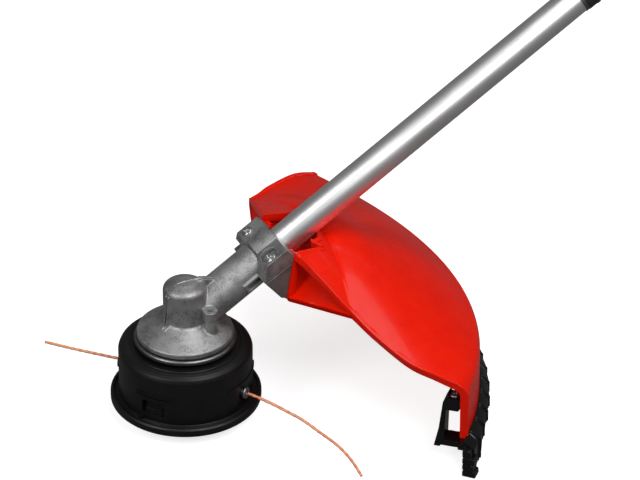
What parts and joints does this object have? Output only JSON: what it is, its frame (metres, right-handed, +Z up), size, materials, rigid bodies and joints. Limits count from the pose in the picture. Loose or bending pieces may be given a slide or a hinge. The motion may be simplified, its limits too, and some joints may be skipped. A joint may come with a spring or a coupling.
{
  "type": "string trimmer lower unit",
  "caption": "Split-shaft line trimmer attachment: angled bevel gearbox, bump-feed line head, curved guard with extension, and shaft tube with coupling sleeve.",
  "frame": {"origin": "centre of the bump knob's ground face", "axes": "+Z up along the head's spin axis, +X the way the shaft rises and the guard lies, -Y the near side with the split clamp's large screw"},
  "size_m": [0.5789, 0.3555, 0.3786],
  "materials": {
    "cast_case": "as cast, fine grain",
    "cast_dark": "as cast, darker",
    "tube": "satin anodised",
    "trim": "satin",
    "steel": "machined",
    "bright_steel": "zinc plated",
    "blade": "ground",
    "spring": "drawn wire",
    "red_plastic": "glossy",
    "black_plastic": "satin black",
    "grey_plastic": "moulded",
    "sleeve": "ribbed",
    "seal": "moulded",
    "line": "extruded nylon, copper-orange"
  },
  "bodies": {
    "frame_body": {"gearbox_housing": "cast_case", "grease_plug": "steel", "clamp_cap": "cast_case", "clamp_screws": "bright_steel", "guard_bracket": "cast_dark", "shaft_tube": "tube", "tube_ring": "trim", "coupling_sleeve": "sleeve", "shaft_bushes": "grey_plastic", "pinion_bearing_outers": "steel", "spindle_bearing_outers": "steel", "bearing_circlips": "steel", "spindle_seal": "seal", "guard": "red_plastic", "guard_screws": "bright_steel", "guard_extension": "black_plastic", "extension_screws": "bright_steel", "line_cutter": "blade", "cutter_screws": "bright_steel"},
    "drive": {"drive_shaft": "steel", "pinion_gear": "steel", "pinion_bearing_inners": "steel"},
    "head": {"output_spindle": "steel", "driven_gear": "steel", "spindle_bearing_inners": "steel", "adapter_plate": "trim", "head_housing": "black_plastic", "head_cover": "black_plastic", "arbor_nut": "steel", "line_eyelets": "bright_steel", "line_tail_near": "line", "line_tail_far": "line", "bump_spring": "spring"},
    "knob": {"bump_knob": "black_plastic"},
    "spool": {"line_spool": "grey_plastic", "wound_line": "line"}
  },
  "joints": [
    {"name": "head_spin", "type": "hinge", "parent": "frame_body", "child": "head", "pos_m": [0, 0, 0.0868], "axis": [0, 0, 1], "continuous": true},
    {"name": "drive_spin", "type": "hinge", "parent": "frame_body", "child": "drive", "pos_m": [0, 0, 0.0868], "axis": [0.866, 0, 0.5], "continuous": true},
    {"name": "bump_slide", "type": "slide", "parent": "head", "child": "knob", "axis": [0, 0, 1], "range_m": [0, 0.008], "stiffness_N_per_m": 2500, "springref_m": -0.01, "deforming": ["bump_spring"]},
    {"name": "spool_turn", "type": "hinge", "parent": "knob", "child": "spool", "pos_m": [0, 0, 0.03], "axis": [0, 0, 1], "continuous": true}
  ],
  "couplings": [
    {"joint": "drive_spin", "follows": "head_spin", "ratio": -1.4}
  ]
}
